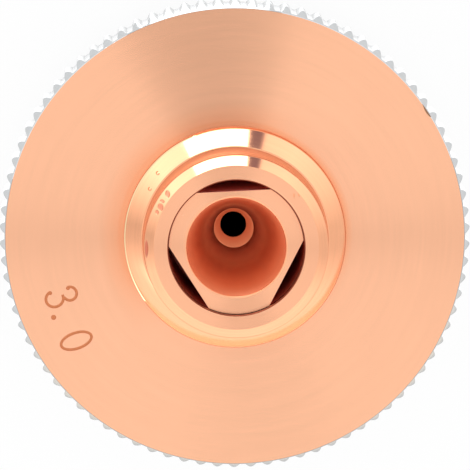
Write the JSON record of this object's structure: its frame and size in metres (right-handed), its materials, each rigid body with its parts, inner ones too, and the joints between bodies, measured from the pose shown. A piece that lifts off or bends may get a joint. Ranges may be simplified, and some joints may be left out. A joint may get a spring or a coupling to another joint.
{
  "type": "laser cutting nozzle",
  "caption": "Double-layer laser cutting nozzle: a knurled, plated copper body with a threaded stub and conical seat, and a pressed-in copper core with flats.",
  "frame": {"origin": "centre of the nose's tip, which the nozzle stands on", "axes": "+Z along the nozzle's axis towards the threaded stub; +Y towards the gas channel that lies nearest the picture's top"},
  "size_m": [0.028, 0.028, 0.015],
  "materials": {
    "body_copper": "turned copper, chrome plated on the knurl, rim and nose, bare on the rear face, seat, stub and bore",
    "core_copper": "turned bare copper"
  },
  "bodies": {
    "root": {"nozzle_body": "body_copper", "core_insert": "core_copper"}
  },
  "joints": []
}
